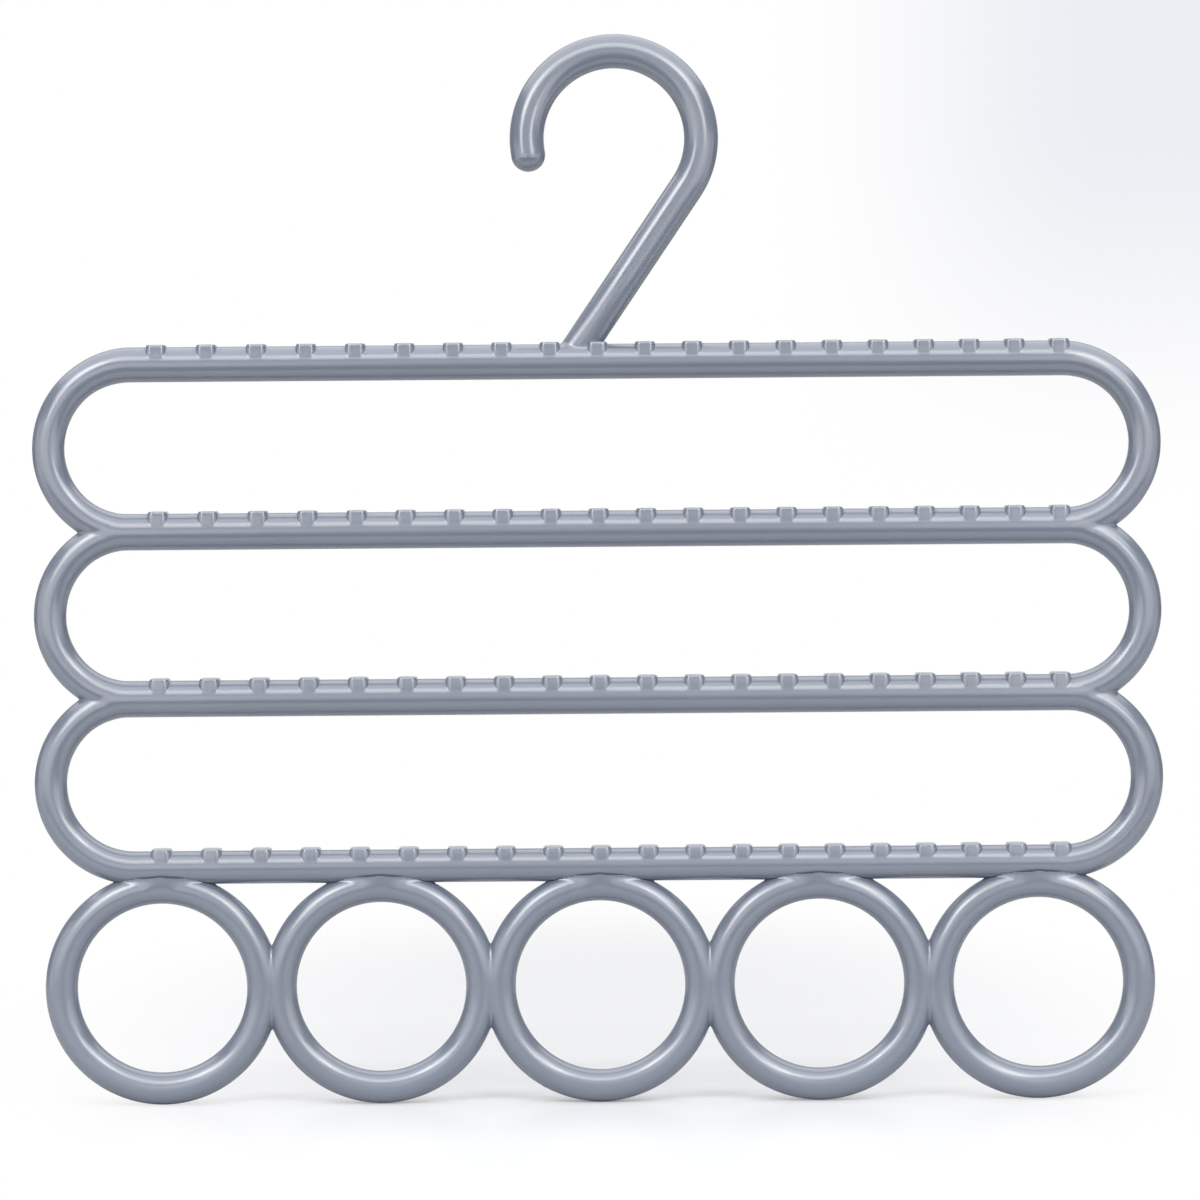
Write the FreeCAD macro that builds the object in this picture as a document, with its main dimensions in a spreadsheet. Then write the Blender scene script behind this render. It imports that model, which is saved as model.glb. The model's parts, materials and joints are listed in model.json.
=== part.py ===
import FreeCAD, Part
import math
import os
import Sketcher
from FreeCAD import Placement, Rotation, Vector

# A scarf hanger moulded from round plastic rod: a hook, four bars with nubs, end bows and five rings.
# The origin is where the rail sits under the hook's crown. +X is to the right, +Z up, front faces -Y.

doc = FreeCAD.newDocument("scarf_hanger")
sheet = doc.addObject("Spreadsheet::Sheet", "Sizes")

# Driving dimensions, in millimetres unless the note says degrees
driving_sizes = [
    ("bar_length", "304.4", "straight run of every bar, from bow to bow"),
    ("bar_pitch", "54.8", "from one bar's centreline to the next in the upper two loops"),
    ("lower_pitch", "55.5", "from the third bar's centreline to the bottom bar's"),
    ("top_bar_rod", "11.5", "diameter of the top bar"),
    ("shared_bar_rod", "12.0", "diameter of the two bars that two loops share"),
    ("bottom_bar_rod", "10.9", "diameter of the bottom bar"),
    ("bow_rod", "10.6", "diameter of the rod in the end bows"),
    ("neck_length", "6.0", "taper at each bar end, from the bar's diameter to the bow's"),
    ("top_bar_drop", "95.6", "top bar's centreline below the rail's seat"),
    ("seat_offset", "6.5", "rail's seat to the right of the frame's middle"),
    ("hook_inner", "45.8", "inside diameter of the hook's crown"),
    ("hook_rod", "11.2", "diameter of the hook's rod"),
    ("foot_depth", "7.3", "front to back of the hook's rod at its foot"),
    ("foot_taper", "30.0", "length of stem that flattens towards the foot"),
    ("stem_lean", "34.2", "lean of the straight stem from upright, degrees"),
    ("tip_angle", "10.4", "how far the crown runs past level at the tip, degrees"),
    ("ring_count", "5", "rings in the row"),
    ("ring_inner", "55.6", "inside diameter of a ring"),
    ("ring_rod", "10.6", "diameter of a ring's rod"),
    ("ring_overlap", "4.8", "how far neighbouring rings run into each other"),
    ("ring_sink", "4.15", "how far a ring's rod runs into the bottom bar"),
    ("nub_count", "20", "nubs on each bar"),
    ("nub_width", "6.6", "width of a nub along its bar"),
    ("nub_rise", "0.7", "height of a nub above its bar"),
    ("nub_setback", "0.3", "nub's ends behind the bar's front and back"),
    ("nub_corner", "1.4", "corner radius of a nub seen from above"),
    ("nub_edge", "0.55", "rounding of a nub's top edge"),
    ("nub_root", "1.2", "nub's lowest level above the bar's centreline"),
    ("first_nub_inset", "8.4", "first nub's middle from the left end of the bar"),
    ("last_nub_inset", "0.7", "last nub's middle from the right end of the bar"),
    ("nub_closing", "0.061", "share by which the nubs' spacing opens at the left and closes at the right"),
]
for row, (alias, value, note) in enumerate(driving_sizes, start=1):
    sheet.set("A%d" % row, note)
    sheet.set("B%d" % row, value)
    sheet.setAlias("B%d" % row, alias)
doc.recompute()

# Bars from the top down, with the rod that each is made of, and the loops between them
bar_names = ("top_bar", "second_bar", "third_bar", "bottom_bar")
bar_rods = ("top_bar_rod", "shared_bar_rod", "shared_bar_rod", "bottom_bar_rod")
loop_names = ("upper", "middle", "lower")
loop_pitches = ("bar_pitch", "bar_pitch", "lower_pitch")
last_bar = len(bar_names) - 1
last_loop = len(loop_names) - 1

# Sizes that follow from the driving ones, written as expressions
frame_middle = "-Sizes.seat_offset"
crown_radius = "(Sizes.hook_inner + Sizes.hook_rod) / 2"
stem_lean = "(Sizes.stem_lean * 1 deg)"
taper_drop = "(Sizes.top_bar_drop - Sizes.foot_taper * cos(%s))" % stem_lean
tip_angle = "(Sizes.tip_angle * 1 deg)"
ring_radius = "(Sizes.ring_inner + Sizes.ring_rod) / 2"
ring_reach = "(Sizes.ring_inner / 2 + Sizes.ring_rod)"
ring_pitch = "(2 * %s - Sizes.ring_overlap)" % ring_reach


def size(alias):
    return float(sheet.get(alias))


def bind(item, bindings):
    for name, expression in bindings.items():
        item.setExpression(name, expression)


def bar_level(index):
    # The top bar's level, less the pitch of each loop above this bar
    steps = "".join(" - Sizes.%s" % pitch for pitch in loop_pitches[:index])
    return "(-Sizes.top_bar_drop%s)" % steps


ring_level = "(%s - Sizes.bottom_bar_rod / 2 - %s + Sizes.ring_sink)" % (bar_level(last_bar), ring_reach)


def origin_plane(body, role):
    return [plane for plane in body.Origin.OriginFeatures if plane.Role == role][0]


def sketch_on(body, role, label):
    sketch = body.newObject("Sketcher::SketchObject", label)
    sketch.AttachmentSupport = (origin_plane(body, role), [""])
    sketch.MapMode = "FlatFace"
    return sketch


def closed_outline(sketch, corners):
    # Straight sides between the corners, each side joined to the next
    points = [Vector(x, y, 0) for x, y in corners]
    sides = []
    for start, end in zip(points, points[1:] + points[:1]):
        sides.append(sketch.addGeometry(Part.LineSegment(start, end), False))
    for side, following in zip(sides, sides[1:] + sides[:1]):
        sketch.addConstraint(Sketcher.Constraint("Coincident", side, 2, following, 1))
    return sides


def dimension(sketch, name, expression, kind, *places):
    index = sketch.addConstraint(Sketcher.Constraint(kind, *places))
    sketch.renameConstraint(index, name)
    sketch.setExpression("Constraints." + name, expression)


def make_bar(label, rod, index):
    # A turned profile: a straight rod whose ends neck down to the bows' diameter
    body = doc.addObject("PartDesign::Body", label)
    profile = sketch_on(body, "XZ_Plane", label + "_profile")
    half = size("bar_length") / 2
    neck = half - size("neck_length")
    thick = size(rod) / 2
    thin = size("bow_rod") / 2
    corners = [(-half, 0), (-half, thin), (-neck, thick), (neck, thick), (half, thin), (half, 0)]
    left, left_neck, crest, _, right, _ = closed_outline(profile, corners)
    profile.addConstraint(Sketcher.Constraint("PointOnObject", left, 1, -1))
    profile.addConstraint(Sketcher.Constraint("Vertical", left))
    profile.addConstraint(Sketcher.Constraint("Symmetric", left, 1, right, 2, -2))
    profile.addConstraint(Sketcher.Constraint("Symmetric", left, 2, right, 1, -2))
    profile.addConstraint(Sketcher.Constraint("Symmetric", crest, 1, crest, 2, -2))
    dimension(profile, "length", "Sizes.bar_length", "DistanceX", left, 1, right, 2, 2 * half)
    dimension(profile, "end_radius", "Sizes.bow_rod / 2", "DistanceY", left, 1, left, 2, thin)
    dimension(profile, "neck", "Sizes.neck_length", "DistanceX", left_neck, 1, left_neck, 2, half - neck)
    dimension(profile, "radius", "Sizes.%s / 2" % rod, "DistanceY", -1, 1, crest, 1, thick)
    turned = body.newObject("PartDesign::Revolution", label + "_turned")
    turned.Profile = profile
    turned.ReferenceAxis = (profile, ["H_Axis"])
    turned.Angle = 360
    bind(body, {"Placement.Base.x": frame_middle, "Placement.Base.z": bar_level(index)})
    return body


def make_ring_of_rod(label, radius, rod, centre_x, centre_z):
    # A full ring of round rod lying in the hanger's plane
    torus = doc.addObject("Part::Torus", label)
    torus.Placement = Placement(Vector(), Rotation(Vector(1, 0, 0), 90))
    bind(torus, {
        "Radius1": radius,
        "Radius2": "Sizes.%s / 2" % rod,
        "Placement.Base.x": centre_x,
        "Placement.Base.z": centre_z,
    })
    return torus


def make_keep_box(label, rod, low_x, high_x, low_z, high_z):
    # The block of space that a trimmed ring is kept in
    box = doc.addObject("Part::Box", label)
    bind(box, {
        "Length": "%s - (%s)" % (high_x, low_x),
        "Width": "2 * Sizes.%s" % rod,
        "Height": "%s - (%s)" % (high_z, low_z),
        "Placement.Base.x": low_x,
        "Placement.Base.y": "-Sizes.%s" % rod,
        "Placement.Base.z": low_z,
    })
    return box


def boolean(kind, label, base, tool):
    result = doc.addObject(kind, label)
    result.Base = base
    result.Tool = tool
    return result


def make_bow(label, side, loop):
    # Half a ring at the end of a loop. Where two loops share a bar, the bows meet at its centreline.
    centre_x = "(%s %s Sizes.bar_length / 2)" % (frame_middle, side)
    shared = "Sizes.%s / 2" % loop_pitches[loop]
    centre_z = "(%s - %s)" % (bar_level(loop), shared)
    outside = "(%s + Sizes.bow_rod)" % shared
    above = outside if loop == 0 else shared
    below = outside if loop == last_loop else shared
    low_x = "%s - %s" % (centre_x, outside) if side == "-" else centre_x
    high_x = centre_x if side == "-" else "%s + %s" % (centre_x, outside)
    ring = make_ring_of_rod(label + "_rod", shared, "bow_rod", centre_x, centre_z)
    box = make_keep_box(label + "_half", "bow_rod", low_x, high_x,
                        "%s - %s" % (centre_z, below), "%s + %s" % (centre_z, above))
    return boolean("Part::Common", label, ring, box)


def make_ring(index, count, neighbours):
    # A ring trimmed half-way to its neighbours and seated on the rods above it
    label = "ring_%d" % (index + 1)
    centre_x = "(%s + (%d - (%d - 1) / 2) * %s)" % (frame_middle, index, count, ring_pitch)
    outside = "(%s + Sizes.ring_rod)" % ring_reach
    half_way = "%s / 2" % ring_pitch
    low_x = "%s - %s" % (centre_x, outside if index == 0 else half_way)
    high_x = "%s + %s" % (centre_x, outside if index == count - 1 else half_way)
    ring = make_ring_of_rod(label + "_rod", ring_radius, "ring_rod", centre_x, ring_level)
    box = make_keep_box(label + "_bay", "ring_rod", low_x, high_x,
                        "%s - %s" % (ring_level, outside), "%s + %s" % (ring_level, outside))
    seated = boolean("Part::Common", label + "_in_bay", ring, box)
    for neighbour in neighbours[:-1]:
        seated = boolean("Part::Cut", "%s_on_%s" % (label, neighbour.Label), seated, neighbour)
    return boolean("Part::Cut", label, seated, neighbours[-1])


def make_hook_path():
    # The round rod's centreline: a straight stem, from where it begins to flatten, and the round crown
    path = doc.addObject("Sketcher::SketchObject", "hook_path")
    path.Placement = Placement(Vector(), Rotation(Vector(1, 0, 0), 90))
    radius = (size("hook_inner") + size("hook_rod")) / 2
    lean = math.radians(size("stem_lean"))
    tip = math.radians(size("tip_angle"))
    centre = Vector(0, -size("hook_inner") / 2, 0)
    shoulder = centre + radius * Vector(math.cos(lean), -math.sin(lean), 0)
    stem_length = (shoulder.y + size("top_bar_drop")) / math.cos(lean) - size("foot_taper")
    start = shoulder - stem_length * Vector(math.sin(lean), math.cos(lean), 0)
    stem = path.addGeometry(Part.LineSegment(start, shoulder), False)
    circle = Part.Circle(centre, Vector(0, 0, 1), radius)
    crown = path.addGeometry(Part.ArcOfCircle(circle, -lean, math.pi + tip), False)
    path.addConstraint(Sketcher.Constraint("Tangent", stem, 2, crown, 1))
    path.addConstraint(Sketcher.Constraint("PointOnObject", crown, 3, -2))
    dimension(path, "crown_radius", crown_radius, "Radius", crown, radius)
    dimension(path, "crown_drop", "Sizes.hook_inner / 2", "DistanceY", crown, 3, -1, 1, -centre.y)
    dimension(path, "start_drop", taper_drop, "DistanceY", stem, 1, -1, 1, -start.y)
    dimension(path, "stem_slope", "90 deg - %s" % stem_lean, "Angle", stem, math.pi / 2 - lean)
    dimension(path, "tip_drop", "%s * sin(%s)" % (crown_radius, tip_angle),
              "DistanceY", crown, 2, crown, 3, radius * math.sin(tip))
    return path


def place_on_stem(section, drop):
    # Square across the stem, where its centreline is this far below the rail's seat
    shoulder_drop = "(Sizes.hook_inner / 2 + %s * sin(%s))" % (crown_radius, stem_lean)
    section.Placement = Placement(Vector(), Rotation(Vector(0, 1, 0), size("stem_lean")))
    bind(section, {
        "Placement.Base.x": "%s * cos(%s) - (%s - %s) * tan(%s)"
                            % (crown_radius, stem_lean, drop, shoulder_drop, stem_lean),
        "Placement.Base.z": "-%s" % drop,
        "Placement.Rotation.Angle": "Sizes.stem_lean",
    })


def make_hook(top_bar):
    # A round rod swept along its centreline, with a ball tip, and a flattened foot that fits the top bar
    path = make_hook_path()
    rod_section = doc.addObject("Part::Circle", "hook_rod_section")
    bind(rod_section, {"Radius": "Sizes.hook_rod / 2"})
    place_on_stem(rod_section, taper_drop)
    rod = doc.addObject("Part::Sweep", "hook_rod")
    rod.Sections = [rod_section]
    rod.Spine = (path, ["Edge1", "Edge2"])
    rod.Solid = True
    foot_section = doc.addObject("Part::Ellipse", "hook_foot_section")
    bind(foot_section, {"MajorRadius": "Sizes.hook_rod / 2", "MinorRadius": "Sizes.foot_depth / 2"})
    place_on_stem(foot_section, "Sizes.top_bar_drop")
    foot = doc.addObject("Part::Loft", "hook_foot")
    foot.Sections = [foot_section, rod_section]
    foot.Solid = True
    tip = doc.addObject("Part::Sphere", "hook_tip")
    bind(tip, {
        "Radius": "Sizes.hook_rod / 2",
        "Placement.Base.x": "-%s * cos(%s)" % (crown_radius, tip_angle),
        "Placement.Base.z": "-Sizes.hook_inner / 2 - %s * sin(%s)" % (crown_radius, tip_angle),
    })
    stem = boolean("Part::Fuse", "hook_stem", rod, foot)
    whole = boolean("Part::Fuse", "hook_whole", stem, tip)
    return boolean("Part::Cut", "hook", whole, top_bar)


def edge_names(shape, wanted):
    return ["Edge%d" % number for number, edge in enumerate(shape.Edges, start=1) if wanted(edge)]


def round_edges(body, label, feature, wanted, radius):
    doc.recompute()
    rounded = body.newObject("PartDesign::Fillet", label)
    rounded.Base = (feature, edge_names(feature.Shape, wanted))
    bind(rounded, {"Radius": radius})
    return rounded


def make_nub(label, rod):
    # One nub over a bar that lies along X: an upright pad with round corners, crowned like the bar
    body = doc.addObject("PartDesign::Body", label)
    plan = sketch_on(body, "XY_Plane", label + "_plan")
    wide = size("nub_width")
    deep = size(rod) - 2 * size("nub_setback")
    corners = [(-wide / 2, -deep / 2), (wide / 2, -deep / 2), (wide / 2, deep / 2), (-wide / 2, deep / 2)]
    front, right, back, left = closed_outline(plan, corners)
    for side in (front, back):
        plan.addConstraint(Sketcher.Constraint("Horizontal", side))
    for side in (left, right):
        plan.addConstraint(Sketcher.Constraint("Vertical", side))
    plan.addConstraint(Sketcher.Constraint("Symmetric", front, 1, back, 1, -1, 1))
    dimension(plan, "width", "Sizes.nub_width", "DistanceX", front, 1, front, 2, wide)
    dimension(plan, "depth", "Sizes.%s - 2 * Sizes.nub_setback" % rod, "DistanceY", right, 1, right, 2, deep)
    bind(plan, {"AttachmentOffset.Base.z": "Sizes.nub_root"})
    pad = body.newObject("PartDesign::Pad", label + "_pad")
    pad.Profile = plan
    bind(pad, {"Length": "Sizes.%s / 2 + 2 * Sizes.nub_rise - Sizes.nub_root" % rod})
    round_edges(body, label + "_corners", pad,
                lambda edge: edge.BoundBox.ZLength > edge.BoundBox.DiagonalLength / 2,
                "Sizes.nub_corner")
    doc.recompute()

    # What stands above the crown, a cylinder round the bar's own axis, is turned away
    above = sketch_on(body, "XZ_Plane", label + "_above")
    crown = size(rod) / 2 + size("nub_rise")
    corners = [(-wide, crown), (wide, crown), (wide, 2 * crown), (-wide, 2 * crown)]
    low, right, high, left = closed_outline(above, corners)
    above.addConstraint(Sketcher.Constraint("Horizontal", high))
    for side in (left, right):
        above.addConstraint(Sketcher.Constraint("Vertical", side))
    above.addConstraint(Sketcher.Constraint("Symmetric", low, 1, low, 2, -2))
    dimension(above, "width", "2 * Sizes.nub_width", "DistanceX", low, 1, low, 2, 2 * wide)
    dimension(above, "crown", "Sizes.%s / 2 + Sizes.nub_rise" % rod, "DistanceY", -1, 1, low, 1, crown)
    dimension(above, "waste", "Sizes.%s / 2 + Sizes.nub_rise" % rod, "DistanceY", right, 1, right, 2, crown)
    crowned = body.newObject("PartDesign::Groove", label + "_crown")
    crowned.Profile = above
    crowned.ReferenceAxis = (above, ["H_Axis"])
    crowned.Angle = 360
    doc.recompute()
    crown_face = max(crowned.Shape.Faces, key=lambda face: face.CenterOfMass.z)
    round_edges(body, label + "_edge", crowned,
                lambda edge: any(edge.isSame(rim) for rim in crown_face.Edges),
                "min(Sizes.nub_edge; 0.8 * Sizes.nub_rise)")
    return body


def make_nub_row(label, nub, bar, seats):
    # Copies of the nub along the bar, each cut to sit on what is under it.
    # The spacing closes up evenly from left to right.
    count = round(size("nub_count"))
    first = size("first_nub_inset") - size("bar_length") / 2
    run = size("bar_length") - size("first_nub_inset") - size("last_nub_inset")
    pads = []
    for index in range(count):
        share = index / (count - 1)
        along = first + run * (share + size("nub_closing") * share * (1 - share))
        pad = nub.Shape.copy()
        pad.translate(bar.Placement.Base + Vector(along, 0, 0))
        for seat in seats:
            if seat.Shape.BoundBox.intersect(pad.BoundBox):
                pad = pad.cut(seat.Shape)
        pads.extend(pad.Solids)
    row = doc.addObject("Part::Feature", label)
    row.Shape = Part.Compound(pads)
    row.Placement = Placement()
    return row


bars = [make_bar(name, rod, index) for index, (name, rod) in enumerate(zip(bar_names, bar_rods))]

# End bows of the loops between the bars
left_bows = [make_bow("left_%s_bow" % name, "-", loop) for loop, name in enumerate(loop_names)]
right_bows = [make_bow("right_%s_bow" % name, "+", loop) for loop, name in enumerate(loop_names)]

# Rings under the bottom bar, where the end ones also meet the lower bows
ring_total = round(size("ring_count"))
carriers = [left_bows[-1], right_bows[-1], bars[-1]]
rings = [make_ring(index, ring_total, carriers) for index in range(ring_total)]

hook = make_hook(bars[0])
doc.recompute()

# Nubs on each bar, where the last ones also sit on the bows and one meets the hook's foot.
# They are cut by the hook as it was before its foot was fitted, so that no cut follows the bar's face.
nub_rows = []
for bar, rod in zip(bars, bar_rods):
    nub = make_nub(bar.Label + "_nub", rod)
    doc.recompute()
    seats = [bar, hook.Base] + left_bows + right_bows
    nub_rows.append(make_nub_row(bar.Label + "_nubs", nub, bar, seats))
doc.recompute()

# Nothing is written unless every object is sound
for item in doc.Objects:
    if "Invalid" in item.State or "Error" in item.State:
        raise RuntimeError("%s failed: %s" % (item.Label, item.State))

nodes = [hook] + bars + left_bows + right_bows + rings + nub_rows
for node in nodes:
    if node.Shape.isNull() or not node.Shape.isValid():
        raise RuntimeError("%s has no sound shape" % node.Label)

os.makedirs("parts", exist_ok=True)
for node in nodes:
    node.Shape.exportStep("parts/%s.step" % node.Label)
    print("%-18s %2d solids %9.1f mm3" % (node.Label, len(node.Shape.Solids), node.Shape.Volume))
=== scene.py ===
import json
import math

import bmesh
import bpy
import numpy as np
from mathutils import Matrix, Vector


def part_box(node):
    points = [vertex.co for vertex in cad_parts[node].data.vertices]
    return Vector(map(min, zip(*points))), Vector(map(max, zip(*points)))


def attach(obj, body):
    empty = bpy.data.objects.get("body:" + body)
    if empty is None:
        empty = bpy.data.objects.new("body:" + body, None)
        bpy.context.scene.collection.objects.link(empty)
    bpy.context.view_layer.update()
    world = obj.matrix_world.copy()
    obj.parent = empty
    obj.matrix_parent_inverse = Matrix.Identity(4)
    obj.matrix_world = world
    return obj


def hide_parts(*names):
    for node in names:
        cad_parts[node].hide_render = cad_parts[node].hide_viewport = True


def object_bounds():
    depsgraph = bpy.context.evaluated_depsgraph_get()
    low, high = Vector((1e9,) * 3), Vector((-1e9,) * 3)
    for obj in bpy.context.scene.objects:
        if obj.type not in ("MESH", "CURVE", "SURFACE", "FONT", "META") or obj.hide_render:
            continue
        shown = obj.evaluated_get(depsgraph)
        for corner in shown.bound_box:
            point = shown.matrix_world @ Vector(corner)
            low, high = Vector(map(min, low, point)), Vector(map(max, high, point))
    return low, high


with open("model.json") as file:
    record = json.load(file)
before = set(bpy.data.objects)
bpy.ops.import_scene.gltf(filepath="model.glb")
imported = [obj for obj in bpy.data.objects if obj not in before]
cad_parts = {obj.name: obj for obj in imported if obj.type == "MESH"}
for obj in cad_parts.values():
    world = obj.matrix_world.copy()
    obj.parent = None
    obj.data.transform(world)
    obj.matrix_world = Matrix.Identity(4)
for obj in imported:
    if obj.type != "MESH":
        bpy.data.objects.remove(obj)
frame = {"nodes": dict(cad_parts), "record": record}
cadBox = [list(corner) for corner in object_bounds()]
mm = 0.001
quarter = math.pi / 2
depthAxis = np.array([0.0, 1.0, 0.0])

# The fillets of the moulding: how far each one reaches up the two rods that it joins.
fillets = {
    "ringToRing": 0.9 * mm,
    "ringToBar": 0.5 * mm,
    "ringTop": 4.2 * mm,  # the fillet to the bar at a ring's top
    "ringTopRun": 15.0 * mm,  # from the top to where it has narrowed to ringToBar
    "bowToBow": 0.7 * mm,
    "hookToBar": 0.9 * mm,
}


def corners(node):
    low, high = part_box(node)
    return np.array(low), np.array(high)


# A bar is known by its two ends, the level of its axis and its radius, all from its node's box.
def barFrom(node):
    low, high = corners(node)
    return {
        "left": low[0],
        "right": high[0],
        "level": (low[2] + high[2]) / 2,
        "radius": (high[2] - low[2]) / 2,
    }


barNames = ["top_bar", "second_bar", "third_bar", "bottom_bar"]
bars = {name: barFrom(name) for name in barNames}
bottomBar = bars["bottom_bar"]
topBar = bars["top_bar"]

print("frame read:", len(frame["nodes"]), "nodes")


# Distances from the rods


# Gap to a straight rod: distance to the nearest point of its axis, less its radius.
def gapToBar(bar, p):
    nearest = np.clip(p[..., 0], bar["left"], bar["right"])
    away = (p[..., 0] - nearest) ** 2 + p[..., 1] ** 2 + (p[..., 2] - bar["level"]) ** 2
    return np.sqrt(away) - bar["radius"]


# An S-shaped step from 0 to 1 that starts and ends level.
def easeStep(u):
    u = np.clip(u, 0.0, 1.0)
    return u * u * (3.0 - 2.0 * u)


# A bow's radius from its top end, 0, to its bottom end, 1: thicker at both ends, like its bars.
def bowRadius(bow, t):
    fromTop = 1.0 - easeStep(t / bow["swell"])
    fromBottom = 1.0 - easeStep((1.0 - t) / bow["swell"])
    return (
        bow["radius"]
        + (bow["topRadius"] - bow["radius"]) * fromTop
        + (bow["bottomRadius"] - bow["radius"]) * fromBottom
    )


# Gap to a bow: distance to the nearest point of its half circle, less the radius there.
def gapToBow(bow, p):
    dx = (p[..., 0] - bow["x"]) * bow["side"]
    dz = p[..., 2] - bow["z"]
    turned = np.arctan2(dx, dz) / math.pi
    t = np.where(turned < -0.5, 1.0, np.clip(turned, 0.0, 1.0))
    axisX = bow["bend"] * np.sin(math.pi * t)
    axisZ = bow["bend"] * np.cos(math.pi * t)
    away = (dx - axisX) ** 2 + p[..., 1] ** 2 + (dz - axisZ) ** 2
    return np.sqrt(away) - bowRadius(bow, t)


# Gap to a ring: distance to its circle, less its rod's radius.
def gapToRing(ring, p):
    across = np.hypot(p[..., 0] - ring["x"], p[..., 2] - ring["z"]) - ring["bend"]
    return np.hypot(across, p[..., 1]) - ring["radius"]


# Two gaps made one with a fillet: the smaller, lowered by a parabola where they are near equal.
def joined(gapA, gapB, reach):
    near = np.maximum(reach - np.abs(gapA - gapB), 0.0)
    return np.minimum(gapA, gapB) - near * near / (4.0 * reach)


# Middle value search for a whole array at once: low is inside, high is outside.
def searchEdge(outside, low, high, rounds=44):
    for _ in range(rounds):
        middle = (low + high) / 2
        out = outside(middle) > 0
        high = np.where(out, middle, high)
        low = np.where(out, low, middle)
    return (low + high) / 2


# Meshes

meshLook = {
    "merge": 2e-7,
    "sharp": math.radians(48),
    "skin": 72,  # points round a rod's skin
    "cut": 7,  # points across its cut
    "crowding": 0.55,  # how much closer the skin's points stand beside the cut
    "margin": 1.0005,  # how far out the skin is looked for, in its largest radii
}


def newMaterial(name):
    material = bpy.data.materials.new(name)
    material.use_nodes = True
    return material


# A list of grids of points becomes one closed mesh: equal points are merged and faces turned out.
def putMesh(name, grids, node, material, wrapRows=False):
    points = []
    faces = []
    count = 0
    for grid in grids:
        rows, columns = grid.shape[:2]
        index = np.arange(rows * columns).reshape(rows, columns) + count
        below = np.roll(index, -1, 0) if wrapRows else index[1:]
        here = index if wrapRows else index[:-1]
        quads = np.stack(
            [here, np.roll(here, -1, 1), np.roll(below, -1, 1), below], axis=-1
        )
        points.append(grid.reshape(-1, 3))
        faces.append(quads.reshape(-1, 4))
        count += rows * columns
    mesh = bpy.data.meshes.new(name)
    mesh.from_pydata(np.concatenate(points), [], np.concatenate(faces).tolist())
    work = bmesh.new()
    work.from_mesh(mesh)
    bmesh.ops.remove_doubles(work, verts=work.verts, dist=meshLook["merge"])
    bmesh.ops.dissolve_degenerate(work, edges=work.edges, dist=meshLook["merge"])
    bmesh.ops.recalc_face_normals(work, faces=work.faces)
    work.to_mesh(mesh)
    work.free()
    mesh.shade_smooth()
    mesh.set_sharp_from_angle(angle=meshLook["sharp"])
    mesh.materials.append(material)
    piece = bpy.data.objects.new(name, mesh)
    bpy.context.scene.collection.objects.link(piece)
    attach(piece, "root")
    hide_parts(node)
    return piece


# A row of points at each end of a grid, all at the middle of the end loop, closes the end.
def capped(grid):
    first = np.broadcast_to(grid[:1].mean(1, keepdims=True), grid[:1].shape)
    last = np.broadcast_to(grid[-1:].mean(1, keepdims=True), grid[-1:].shape)
    return np.concatenate([first, grid, last])


# Round rod along a path. Each loop runs round the skin from one edge of the cut to the other, and
# back across the cut, which faces along normal. The radius at each angle is where the rod and its
# filleted neighbours end, or where the neighbour's own space begins.
def rodSkin(path, normal, radius, skinGap, beyond, edgeGap):
    radius = np.broadcast_to(radius, path.shape[:1])
    edgeGap = np.broadcast_to(edgeGap, path.shape[:1])

    def place(angle, reach):
        turned = np.cos(angle)[..., None] * normal[:, None] + np.sin(angle)[..., None] * depthAxis
        return path[:, None] + reach[..., None] * turned

    def past(angle):
        return -beyond(place(angle, (radius + edgeGap)[:, None] + 0.0 * angle))

    zero = np.zeros((len(path), 1))
    cutAngle = searchEdge(past, zero, zero + math.pi)
    cutAngle = np.where(past(zero) < 0, cutAngle, 0.0)
    v = np.linspace(0.0, 1.0, meshLook["skin"])
    v = v - meshLook["crowding"] * np.sin(2 * math.pi * v) / (2 * math.pi)
    w = np.linspace(0.0, 1.0, meshLook["cut"] + 2)[1:-1]
    angle = np.concatenate(
        [cutAngle + (2 * math.pi - 2 * cutAngle) * v, -cutAngle + 2 * cutAngle * w], axis=1
    )

    def outside(reach):
        p = place(angle, reach)
        return np.maximum(skinGap(p, reach - radius[:, None]), beyond(p))

    farthest = (radius + edgeGap)[:, None] * meshLook["margin"] + 0.0 * angle
    return place(angle, searchEdge(outside, 0.0 * angle, farthest))


# Finishes

plasticLook = {
    "color": (0.124, 0.144, 0.187),
    "tint": 0.035,
    "roughness": (0.21, 0.25),
    "gloss": 1.0,
    "ior": 1.6,
    "spread": (0.3, 0.7),  # the noise values that tone and roughness run between
    "toneScale": 22,
    "glossScale": 140,
    "peel": 0.03,
    "peelHeight": 0.2 * mm,
    "peelScale": 900,
    "waviness": 0.06,
    "waveHeight": 1.0 * mm,
    "waveScale": 70,
}


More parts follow.
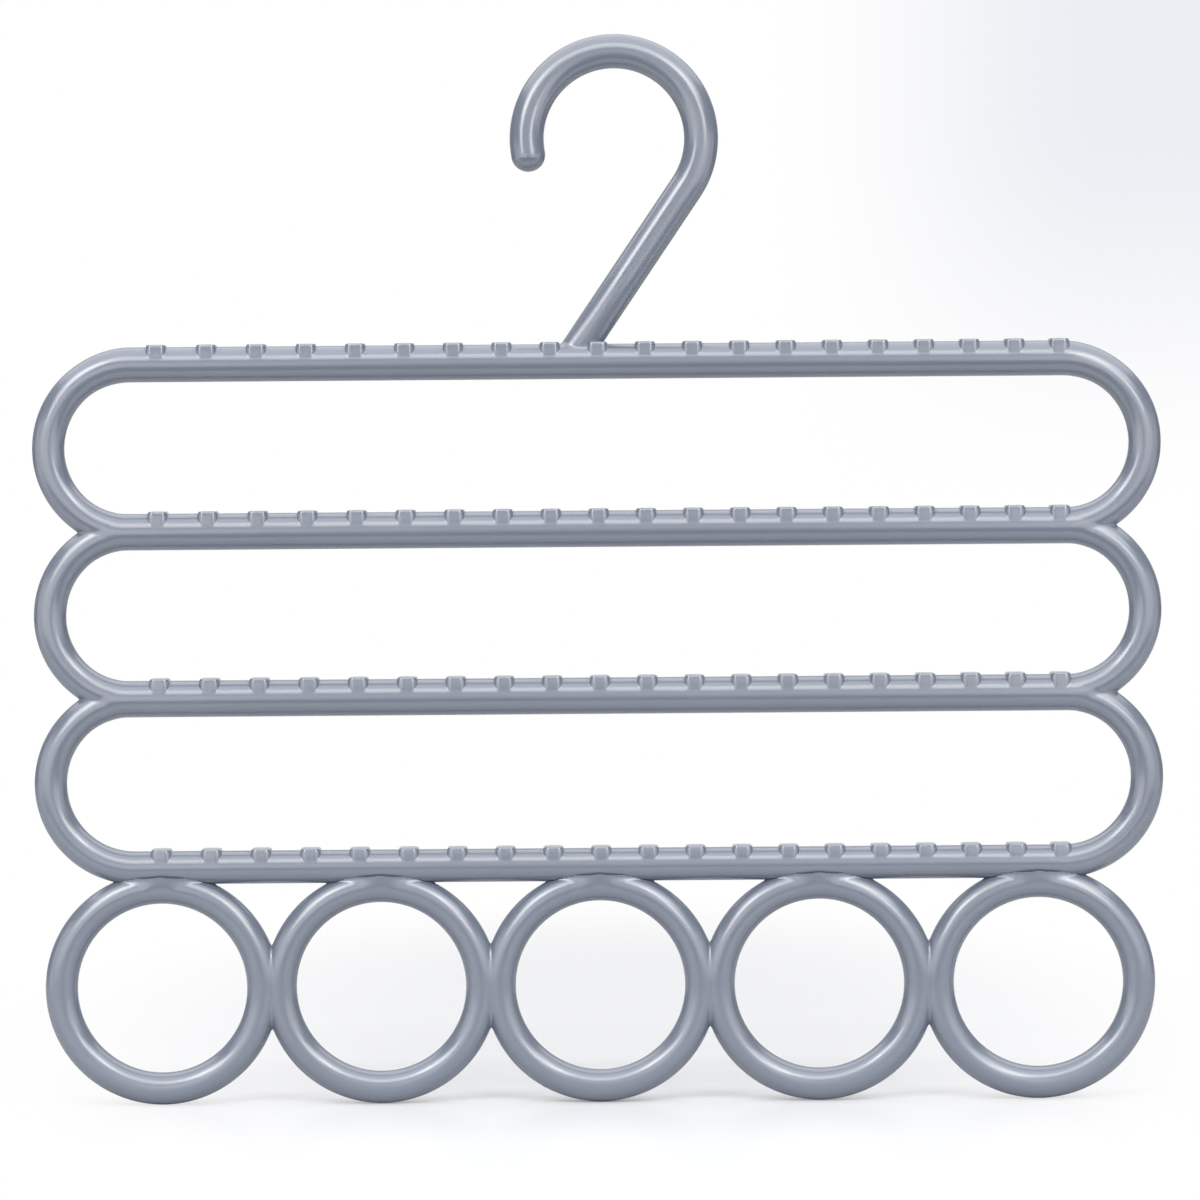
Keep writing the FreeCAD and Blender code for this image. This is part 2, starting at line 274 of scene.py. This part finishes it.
# Gloss plastic: one grey-blue with slow drifts of tone, a roughness that wanders, and a bump of
# fine orange peel over slow waves left by the mould.
def makePlastic(look):
    material = newMaterial("greyBluePlastic")
    nodes = material.node_tree.nodes
    links = material.node_tree.links
    shader = nodes["Principled BSDF"]
    place = nodes.new("ShaderNodeTexCoord")

    def noise(scale, detail, roughness=0.5):
        made = nodes.new("ShaderNodeTexNoise")
        made.inputs["Scale"].default_value = scale
        made.inputs["Detail"].default_value = detail
        made.inputs["Roughness"].default_value = roughness
        links.new(place.outputs["Object"], made.inputs["Vector"])
        return made.outputs["Fac"]

    tone = nodes.new("ShaderNodeValToRGB")
    color = np.array(look["color"])
    tone.color_ramp.elements[0].position = look["spread"][0]
    tone.color_ramp.elements[1].position = look["spread"][1]
    tone.color_ramp.elements[0].color = (*(color * (1 - look["tint"])), 1)
    tone.color_ramp.elements[1].color = (*(color * (1 + look["tint"])), 1)
    links.new(noise(look["toneScale"], 3), tone.inputs["Fac"])
    links.new(tone.outputs["Color"], shader.inputs["Base Color"])

    gloss = nodes.new("ShaderNodeMapRange")
    gloss.inputs["From Min"].default_value = look["spread"][0]
    gloss.inputs["From Max"].default_value = look["spread"][1]
    gloss.inputs["To Min"].default_value = look["roughness"][0]
    gloss.inputs["To Max"].default_value = look["roughness"][1]
    links.new(noise(look["glossScale"], 4, 0.6), gloss.inputs["Value"])
    links.new(gloss.outputs["Result"], shader.inputs["Roughness"])

    waves = nodes.new("ShaderNodeBump")
    waves.inputs["Strength"].default_value = look["waviness"]
    waves.inputs["Distance"].default_value = look["waveHeight"]
    links.new(noise(look["waveScale"], 1), waves.inputs["Height"])
    peel = nodes.new("ShaderNodeBump")
    peel.inputs["Strength"].default_value = look["peel"]
    peel.inputs["Distance"].default_value = look["peelHeight"]
    links.new(noise(look["peelScale"], 2), peel.inputs["Height"])
    links.new(waves.outputs["Normal"], peel.inputs["Normal"])
    links.new(peel.outputs["Normal"], shader.inputs["Normal"])
    shader.inputs["IOR"].default_value = look["ior"]
    shader.inputs["Specular IOR Level"].default_value = look["gloss"]
    return material


plastic = makePlastic(plasticLook)

# Bars

barMesh = {"sections": 90, "around": 72}


# A bar is a circle of one radius carried along a straight line, closed at both ends.
def makeBar(name):
    bar = bars[name]
    x = np.linspace(bar["left"], bar["right"], barMesh["sections"])[:, None]
    angle = np.linspace(0, 2 * math.pi, barMesh["around"], endpoint=False)[None, :]
    y = bar["radius"] * np.sin(angle) + 0 * x
    z = bar["level"] + bar["radius"] * np.cos(angle) + 0 * x
    grid = np.stack([x + 0 * angle, y, z], axis=-1)
    putMesh(name.replace("_", "-"), [capped(grid)], name, plastic)


for name in barNames:
    makeBar(name)
print("bars made:", len(barNames))

# Bows

bowLook = {"swell": 0.24, "sections": 190}
ends = {"left": -1.0, "right": 1.0}
levels = ["upper", "middle", "lower"]


# A bow joins two bars. Where it shares a bar with the next bow, both swell to the bar less the
# fillet's lift, a quarter of its reach, so that the two together are as thick as the bar.
def bowFrom(endName, level):
    low, high = corners(f"{endName}_{level}_bow")
    upper = bars[barNames[levels.index(level)]]
    lower = bars[barNames[levels.index(level) + 1]]
    lift = fillets["bowToBow"] / 4
    return {
        "node": f"{endName}_{level}_bow",
        "side": ends[endName],
        "x": upper[endName],
        "z": (upper["level"] + lower["level"]) / 2,
        "bend": (upper["level"] - lower["level"]) / 2,
        "radius": (high[1] - low[1]) / 2,
        "topRadius": upper["radius"] - (0.0 if level == "upper" else lift),
        "bottomRadius": lower["radius"] - (0.0 if level == "lower" else lift),
        "swell": bowLook["swell"],
        "above": level != "upper",
        "below": level != "lower",
    }


bows = {(e, level): bowFrom(e, level) for e in ends for level in levels}


# A bow is a circle carried round a half circle, cut flat at the level of a bar that it shares.
def makeBow(endName, level):
    bow = bows[endName, level]
    place = levels.index(level)
    joinedBows = [bows[endName, levels[i]] for i in (place - 1, place + 1) if 0 <= i < len(levels)]
    t = np.linspace(0.0, 1.0, bowLook["sections"])
    normal = np.stack(
        [bow["side"] * np.sin(math.pi * t), 0 * t, np.cos(math.pi * t)], axis=-1
    )
    path = np.array([bow["x"], 0.0, bow["z"]]) + bow["bend"] * normal
    top = bow["z"] + bow["bend"] if bow["above"] else np.inf
    bottom = bow["z"] - bow["bend"] if bow["below"] else -np.inf
    reach = fillets["bowToBow"]

    def beyond(p):
        return np.maximum(np.maximum(p[..., 2] - top, bottom - p[..., 2]), -1.0)

    def skinGap(p, own):
        for other in joinedBows:
            own = joined(own, gapToBow(other, p), reach)
        return own

    grid = rodSkin(path, normal, bowRadius(bow, t), skinGap, beyond, reach / 4)
    putMesh(bow["node"].replace("_", "-"), [capped(grid)], bow["node"], plastic)


for endName, level in bows:
    makeBow(endName, level)
print("bows made:", len(bows))

# Rings

ringMesh = {"sections": 540, "topFrom": 0.7}  # a ring's top begins at this sine of its turn
ringNames = [f"ring_{i}" for i in range(1, 6)]


# The rings' step is the width of an inner ring's box. The end ring's free side gives the radius.
def ringsFromFrame():
    low, high = corners("ring_1")
    innerLow, innerHigh = corners("ring_3")
    step = innerHigh[0] - innerLow[0]
    rod = (high[1] - low[1]) / 2
    firstX = (innerLow[0] + innerHigh[0]) / 2 - 2 * step
    outer = firstX - low[0]
    made = []
    for i, node in enumerate(ringNames):
        made.append(
            {
                "node": node,
                "x": firstX + i * step,
                "z": low[2] + outer,
                "bend": outer - rod,
                "radius": rod,
                "step": step,
            }
        )
    return made


rings = ringsFromFrame()


# Gap to what the rings hang from: the bottom bar and its two bows.
def gapToRail(p):
    gap = gapToBar(bottomBar, p)
    for endName in ends:
        gap = np.minimum(gap, gapToBow(bows[endName, "lower"], p))
    return gap


# A ring is a circle carried round a circle, cut flat half way to the next ring and hollowed by
# the bar, with a fillet at each. The fillet to the bar is widest at the ring's top.
def makeRing(place):
    ring = rings[place]
    beside = [rings[i] for i in (place - 1, place + 1) if 0 <= i < len(rings)]
    turn = np.linspace(0, 2 * math.pi, ringMesh["sections"], endpoint=False)
    normal = np.stack([np.cos(turn), 0 * turn, np.sin(turn)], axis=-1)
    path = np.array([ring["x"], 0.0, ring["z"]]) + ring["bend"] * normal

    def barReach(p):
        aside = np.abs(p[..., 0] - ring["x"]) / fillets["ringTopRun"]
        wider = (fillets["ringTop"] - fillets["ringToBar"]) * (1.0 - easeStep(aside))
        return fillets["ringToBar"] + wider

    atTop = np.sin(turn) > ringMesh["topFrom"]
    edgeGap = np.where(atTop, barReach(path), fillets["ringToRing"] / 4)
    rightEdge = ring["x"] + ring["step"] / 2 if place + 1 < len(rings) else np.inf
    leftEdge = ring["x"] - ring["step"] / 2 if place > 0 else -np.inf

    def beyond(p):
        apart = np.maximum(p[..., 0] - rightEdge, leftEdge - p[..., 0])
        return np.maximum(np.maximum(apart, -gapToRail(p)), -1.0)

    def skinGap(p, own):
        for other in beside:
            own = joined(own, gapToRing(other, p), fillets["ringToRing"])
        return joined(own, gapToRail(p), barReach(p))

    grid = rodSkin(path, normal, ring["radius"], skinGap, beyond, edgeGap)
    putMesh(ring["node"].replace("_", "-"), [grid], ring["node"], plastic, wrapRows=True)


for place in range(len(rings)):
    makeRing(place)
print("rings made:", len(rings))

# Hook

hookLook = {
    "footDepth": 7.3 * mm,
    "footTaper": 34.0 * mm,
    "lean": math.radians(34.2),
    "tipTurn": math.radians(10.4),
    "tipLean": math.radians(5.5),
    "leanRun": (12.0 * mm, 42.0 * mm),
    "around": 80,
    "tipRows": 22,
    "arcRows": 220,
    "stemRows": 110,
    "stemCrowding": 1.6,  # above 1, the stem's rows stand closer towards the foot
    "footFrom": 0.4,  # the foot is looked for below this share of the stem
}


# The hook's rod is a circle carried from its ball tip over the crown, then straight down to the
# bar, flattening to an oval on the way. Its free end leans a little to the front. The record's rail
# seat and the box give its radii.
def makeHook(look):
    _, high = corners("hook")
    seat = frame["record"]["mounts"][0]["dims"]["r_mm"] * mm
    wide = high[2] / 2
    bend = seat + wide
    centre = np.array([0.0, 0.0, -seat])
    reach = fillets["hookToBar"]
    phi = np.linspace(0, 2 * math.pi, look["around"], endpoint=False)

    # A cross-section: round, square to the path, and drawn in by a scale.
    def section(path, normal, across, scale):
        side = np.cos(phi)[:, None] * normal[:, None]
        back = np.sin(phi)[:, None] * across[:, None]
        return path[:, None] + wide * scale[:, None, None] * (side + back)

    # Arc, from the tip to the shoulder. The path steps to the front by the sum of its slopes.
    startAngle = math.pi + look["tipTurn"]
    arc = np.linspace(startAngle, -look["lean"], look["arcRows"])
    arcNormal = np.stack([np.cos(arc), 0 * arc, np.sin(arc)], axis=-1)
    arcPath = centre + bend * arcNormal
    run = bend * (startAngle - arc)
    level, end = look["leanRun"]
    slope = look["tipLean"] * (1.0 - easeStep((run - level) / (end - level)))
    steps = np.tan(slope) * (run[1] - run[0])
    arcPath = arcPath - (np.cumsum(steps[::-1])[::-1] - steps / 2)[:, None] * depthAxis
    towardsTip = np.stack([-np.sin(arc), 0 * arc, np.cos(arc)], axis=-1)
    lean = slope[:, None]
    across = np.cos(lean) * depthAxis + np.sin(lean) * towardsTip
    crown = section(arcPath, arcNormal, across, np.ones(len(arc)))
    # Tip: half a ball past the arc's start.
    out = np.cos(lean[0]) * towardsTip[0] - np.sin(lean[0]) * depthAxis
    lift = np.linspace(quarter, 0.0, look["tipRows"], endpoint=False)
    tipPath = arcPath[:1] + wide * np.sin(lift)[:, None] * out
    flat = 0 * tipPath
    tip = section(tipPath, arcNormal[:1] + flat, across[:1] + flat, np.cos(lift))

    # Stem: each line of it ends where the fillet's foot meets the bar.
    shoulder = arcPath[-1]
    down = np.array([-math.sin(look["lean"]), 0.0, -math.cos(look["lean"])])
    length = (shoulder[2] - topBar["level"]) / math.cos(look["lean"])

    def depthAt(s):
        flatter = easeStep((s - length + look["footTaper"]) / look["footTaper"])
        return wide + (look["footDepth"] / 2 - wide) * flatter

    # The rod's own reach from its axis at each angle of the section.
    def reachAt(s):
        return 1.0 / np.sqrt((np.cos(phi) / wide) ** 2 + (np.sin(phi) / depthAt(s)) ** 2)

    def stemPoint(s, scale):
        side = wide * np.cos(phi)[:, None] * arcNormal[-1]
        back = (depthAt(s) * np.sin(phi))[..., None] * depthAxis
        return shoulder + s[..., None] * down + scale[..., None] * (side + back)

    def inBar(s):
        return -gapToBar(topBar, stemPoint(s, 1.0 + reach / reachAt(s)))

    foot = searchEdge(inBar, look["footFrom"] * length + 0 * phi, length + 0 * phi)
    v = np.linspace(0.0, 1.0, look["stemRows"] + 1)[1:, None]
    s = foot * (1.0 - (1.0 - v) ** look["stemCrowding"])

    def outside(scale):
        own = (scale - 1.0) * reachAt(s)
        return joined(own, gapToBar(topBar, stemPoint(s, scale)), reach)

    farthest = meshLook["margin"] * (1.0 + reach / reachAt(s))
    stem = stemPoint(s, searchEdge(outside, np.ones_like(s), farthest))
    root = shoulder + (length - topBar["radius"] / 2) * down
    grid = np.concatenate([tip, crown, stem, np.broadcast_to(root, stem[:1].shape)])
    putMesh("rail-hook", [grid], "hook", plastic)


makeHook(hookLook)
print("hook made")

# Nubs

nubLook = {
    "count": 20,
    "width": 6.6 * mm,
    "rise": 0.75 * mm,
    "setback": 0.35 * mm,
    "corner": 1.9 * mm,
    "edge": 0.6 * mm,
    "flare": 0.22 * mm,
    "crown": 0.1 * mm,
    "closing": 0.061,
    "cornerPoints": 11,
    "sidePoints": 9,
    "footRows": 7,
    "wallRows": 13,
    "topRows": 7,
    "underShare": 0.6,  # the nub's underside, as a share of the bar's height there
    "heartShare": 0.3,  # and the middle of the underside, as a share of the bar's radius
}


# Rounded rectangle as points and outward directions: four corner arcs, each followed by a straight
# side to the next.
def roundedPlan(halfX, halfY, corner, perCorner, perSide):
    middles = np.array([[1, 1], [-1, 1], [-1, -1], [1, -1]]) * [halfX - corner, halfY - corner]
    along = np.linspace(0.0, 1.0, perSide + 2)[1:-1, None]
    points = []
    outward = []
    for q in range(4):
        angle = (q + np.linspace(0.0, 1.0, perCorner)) * quarter
        arc = np.stack([np.cos(angle), np.sin(angle)], axis=-1)
        start = middles[q] + corner * arc[-1]
        end = middles[(q + 1) % 4] + corner * arc[-1]
        points += [middles[q] + corner * arc, start + along * (end - start)]
        outward += [arc, np.broadcast_to(arc[-1], (perSide, 2))]
    return np.concatenate(points), np.concatenate(outward)


# A nub is a block on the bar, a rounded rectangle from above. Its foot spreads over the bar along a
# quarter circle, its wall draws in to the top along a quarter of an ellipse as high as the wall,
# and its top swells a little to the middle.
def makeNubs(name, look):
    bar = bars[name]
    radius = bar["radius"]
    low, high = corners(f"{name}_nubs")
    half = look["width"] / 2
    deep = radius - look["setback"]
    span = high[0] - low[0] - look["width"]
    u = np.linspace(0.0, 1.0, look["count"])
    at = low[0] + half + span * (u + look["closing"] * u * (1 - u))
    perCorner, perSide = look["cornerPoints"], look["sidePoints"]
    plan, outward = roundedPlan(half, deep, look["corner"], perCorner, perSide)
    flare = look["flare"]
    top = radius + look["rise"] - look["crown"]

    # The bar's height under the plan, spread outwards by some distance.
    def onBar(spread):
        y = np.clip(np.abs(plan[:, 1] + spread * outward[:, 1]), 0.0, radius)
        return np.sqrt(radius**2 - y**2)

    def level(spread, share, height):
        flat = (plan + spread * outward) * share
        return np.concatenate([flat, (height + 0 * plan[:, 0])[:, None]], axis=1)

    rows = []
    for a in np.linspace(0.0, quarter, look["footRows"]):
        spread = flare * (1 - math.sin(a))
        rows.append(level(spread, 1.0, onBar(spread) + flare * (1 - math.cos(a))))
    wallFoot = rows[-1][:, 2]
    for a in np.linspace(0.0, quarter, look["wallRows"])[1:]:
        height = wallFoot + (top - wallFoot) * math.sin(a)
        rows.append(level(look["edge"] * (math.cos(a) - 1), 1.0, height))
    for share in np.linspace(1.0, 0.0, look["topRows"])[1:]:
        rows.append(level(-look["edge"], share, top + look["crown"] * (1 - share * share)))
    under = level(flare, 1.0, onBar(flare) * look["underShare"])
    heart = np.broadcast_to(np.array([0.0, 0.0, look["heartShare"] * radius]), under.shape)
    pad = np.stack([heart, under, *rows])
    pads = [pad + np.array([x, 0.0, bar["level"]]) for x in at]
    putMesh(f"{name}-nubs".replace("_", "-"), pads, f"{name}_nubs", plastic)


for name in barNames:
    makeNubs(name, nubLook)
print("nubs made:", nubLook["count"], "on each bar")

# Stage

stageLook = {
    "floor": (0.6, 0.605, 0.625),
    "floorRoughness": 0.4,
    "floorGloss": 0.3,
    "lift": 0.07,
    "middle": 0.2,
    "spread": (2.2, 1.0, 0.0),
    "fade": (0.15, 0.55),
    "front": 0.25,
    "reach": 4.0,
    "ambient": 0.03,
    "room": 0.28,
    "roomEdge": (0.75, 0.98),
    "shade": (0.84, 0.85, 0.895),
    "shadeX": (0.03, 0.1),
    "shadeZ": (-0.02, 0.06),
}


# Floor that meets the rings, pale near the hanger. To the camera it is lifted a little, and it turns
# white outside an oval that lies mostly behind the hanger.
def makeFloor(look):
    level = cadBox[0][2]
    size = look["reach"]
    grid = np.array([[-size, -look["front"]], [size, -look["front"]], [size, size], [-size, size]])
    points = np.concatenate([grid, np.full((4, 1), level)], axis=1)
    mesh = bpy.data.meshes.new("floor")
    mesh.from_pydata(points.tolist(), [], [(0, 1, 2, 3)])
    material = newMaterial("paleFloor")
    nodes = material.node_tree.nodes
    links = material.node_tree.links
    shader = nodes["Principled BSDF"]
    shader.inputs["Base Color"].default_value = (*look["floor"], 1)
    shader.inputs["Roughness"].default_value = look["floorRoughness"]
    shader.inputs["Specular IOR Level"].default_value = look["floorGloss"]
    shader.inputs["Emission Color"].default_value = (1, 1, 1, 1)
    path = nodes.new("ShaderNodeLightPath")
    lift = nodes.new("ShaderNodeMath")
    lift.operation = "MULTIPLY"
    lift.inputs[1].default_value = look["lift"]
    links.new(path.outputs["Is Camera Ray"], lift.inputs[0])
    links.new(lift.outputs["Value"], shader.inputs["Emission Strength"])

    place = nodes.new("ShaderNodeTexCoord")
    oval = nodes.new("ShaderNodeMapping")
    oval.inputs["Scale"].default_value = look["spread"]
    oval.inputs["Location"].default_value[1] = -look["middle"] * look["spread"][1]
    links.new(place.outputs["Object"], oval.inputs["Vector"])
    away = nodes.new("ShaderNodeVectorMath")
    away.operation = "LENGTH"
    links.new(oval.outputs["Vector"], away.inputs[0])
    fade = nodes.new("ShaderNodeMapRange")
    fade.interpolation_type = "SMOOTHSTEP"
    fade.inputs["From Min"].default_value = look["fade"][0]
    fade.inputs["From Max"].default_value = look["fade"][1]
    links.new(away.outputs["Value"], fade.inputs["Value"])
    seen = nodes.new("ShaderNodeMath")
    seen.operation = "MULTIPLY"
    links.new(fade.outputs["Result"], seen.inputs[0])
    links.new(path.outputs["Is Camera Ray"], seen.inputs[1])
    white = nodes.new("ShaderNodeEmission")
    white.inputs["Strength"].default_value = 1.0
    mix = nodes.new("ShaderNodeMixShader")
    links.new(seen.outputs["Value"], mix.inputs["Fac"])
    links.new(shader.outputs["BSDF"], mix.inputs[1])
    links.new(white.outputs["Emission"], mix.inputs[2])
    links.new(mix.outputs["Shader"], nodes["Material Output"].inputs["Surface"])
    mesh.materials.append(material)
    floor = bpy.data.objects.new("floor", mesh)
    bpy.context.scene.collection.objects.link(floor)


# White to the camera, with a faint shade at the upper right: the product of a step across and a
# step up. Reflections see white behind the hanger and a dim room elsewhere, and all other light
# from around is a low even one.
def makeWorld(look):
    world = bpy.data.worlds.new("studio")
    bpy.context.scene.world = world
    world.use_nodes = True
    nodes = world.node_tree.nodes
    links = world.node_tree.links
    ambient = nodes["Background"]
    ambient.inputs["Color"].default_value = (1, 1, 1, 1)
    ambient.inputs["Strength"].default_value = look["ambient"]
    white = nodes.new("ShaderNodeBackground")
    room = nodes.new("ShaderNodeBackground")
    room.inputs["Color"].default_value = (1, 1, 1, 1)
    place = nodes.new("ShaderNodeTexCoord")
    parts = nodes.new("ShaderNodeSeparateXYZ")
    links.new(place.outputs["Generated"], parts.inputs["Vector"])

    # A smooth step between two values of one part of the direction.
    def step(part, start, stop, least=0.0):
        made = nodes.new("ShaderNodeMapRange")
        made.interpolation_type = "SMOOTHSTEP"
        made.inputs["From Min"].default_value = start
        made.inputs["From Max"].default_value = stop
        made.inputs["To Min"].default_value = least
        links.new(parts.outputs[part], made.inputs["Value"])
        return made.outputs["Result"]

    links.new(step("Y", *look["roomEdge"], look["room"]), room.inputs["Strength"])
    corner = nodes.new("ShaderNodeMath")
    corner.operation = "MULTIPLY"
    links.new(step("X", *look["shadeX"]), corner.inputs[0])
    links.new(step("Z", *look["shadeZ"]), corner.inputs[1])
    shade = nodes.new("ShaderNodeMix")
    shade.data_type = "RGBA"
    links.new(corner.outputs["Value"], shade.inputs["Factor"])
    shade.inputs["A"].default_value = (1, 1, 1, 1)
    shade.inputs["B"].default_value = (*look["shade"], 1)
    links.new(shade.outputs["Result"], white.inputs["Color"])
    path = nodes.new("ShaderNodeLightPath")
    mirrored = nodes.new("ShaderNodeMath")
    mirrored.operation = "MAXIMUM"
    links.new(path.outputs["Is Glossy Ray"], mirrored.inputs[0])
    links.new(path.outputs["Is Transmission Ray"], mirrored.inputs[1])
    first = nodes.new("ShaderNodeMixShader")
    links.new(mirrored.outputs["Value"], first.inputs["Fac"])
    links.new(ambient.outputs["Background"], first.inputs[1])
    links.new(room.outputs["Background"], first.inputs[2])
    second = nodes.new("ShaderNodeMixShader")
    links.new(path.outputs["Is Camera Ray"], second.inputs["Fac"])
    links.new(first.outputs["Shader"], second.inputs[1])
    links.new(white.outputs["Background"], second.inputs[2])
    links.new(second.outputs["Shader"], nodes["World Output"].inputs["Surface"])


makeFloor(stageLook)
makeWorld(stageLook)

lampLook = {
    "overhead": {"size": (3.0, 2.4), "glow": 1.65, "turn": (0.0, 95.0), "away": 1.2},
    "strip": {"size": (3.2, 0.66), "glow": 3.3, "turn": (0.0, 43.0), "away": 1.55},
    "stripFoot": {"size": (0.9, 0.3), "glow": 0.7, "turn": (0.0, 21.0), "away": 1.5},
    "upperFront": {"size": (0.3, 0.16), "glow": 1.15, "turn": (0.0, 11.0), "away": 1.08},
    "front": {"size": (0.3, 0.32), "glow": 0.65, "turn": (0.0, -1.0), "away": 1.06},
    "leftBox": {"size": (0.82, 0.4), "glow": 1.7, "turn": (-35.0, 2.0), "away": 0.86},
    "rightBox": {"size": (0.82, 0.4), "glow": 1.6, "turn": (35.0, 2.0), "away": 0.86},
    "leftWing": {"size": (0.5, 0.4), "glow": 1.05, "turn": (-78.0, 2.0), "away": 0.8},
    "rightWing": {"size": (0.5, 0.4), "glow": 0.85, "turn": (78.0, 2.0), "away": 0.8},
    "leftSlim": {"size": (0.36, 0.7), "glow": 4.6, "turn": (-38.0, 26.0), "away": 1.35},
    "rightSlim": {"size": (0.36, 0.7), "glow": 4.7, "turn": (29.0, 24.0), "away": 1.35},
}


# Lamps aim at the hanger's middle from a side angle and a height angle, both in degrees. A lamp's
# power is its glow times pi times its area.
def makeLamp(name, look, aim):
    side, height = (math.radians(a) for a in look["turn"])
    back = Vector(
        (math.sin(side) * math.cos(height), -math.cos(side) * math.cos(height), math.sin(height))
    )
    light = bpy.data.lights.new(name, "AREA")
    light.shape = "RECTANGLE"
    light.size, light.size_y = look["size"]
    light.energy = look["glow"] * math.pi * light.size * light.size_y
    lamp = bpy.data.objects.new(name, light)
    lamp.location = aim + back * look["away"]
    lamp.rotation_euler = (-back).to_track_quat("-Z", "Y").to_euler()
    lamp.visible_camera = False
    bpy.context.scene.collection.objects.link(lamp)


middle = (Vector(cadBox[0]) + Vector(cadBox[1])) / 2
for name, look in lampLook.items():
    makeLamp(name, look, middle)

cameraLook = {
    "aim": (-0.0057, 0.0, -0.1738),
    "distance": 1.7,
    "height": math.radians(2.0),
    "roll": math.radians(-0.44),
    "lens": 155.5,
}


# The camera looks along +Y from a little above, with a long lens and a slight roll.
def makeCamera(look):
    data = bpy.data.cameras.new("camera")
    data.lens = look["lens"]
    camera = bpy.data.objects.new("camera", data)
    back = Vector((0.0, -math.cos(look["height"]), math.sin(look["height"])))
    camera.location = Vector(look["aim"]) + back * look["distance"]
    turn = (-back).to_track_quat("-Z", "Y") @ Matrix.Rotation(look["roll"], 4, "Z").to_quaternion()
    camera.rotation_euler = turn.to_euler()
    bpy.context.scene.collection.objects.link(camera)
    bpy.context.scene.camera = camera


makeCamera(cameraLook)
bpy.context.scene.view_settings.view_transform = "Standard"
print("stage, lamps and camera made")
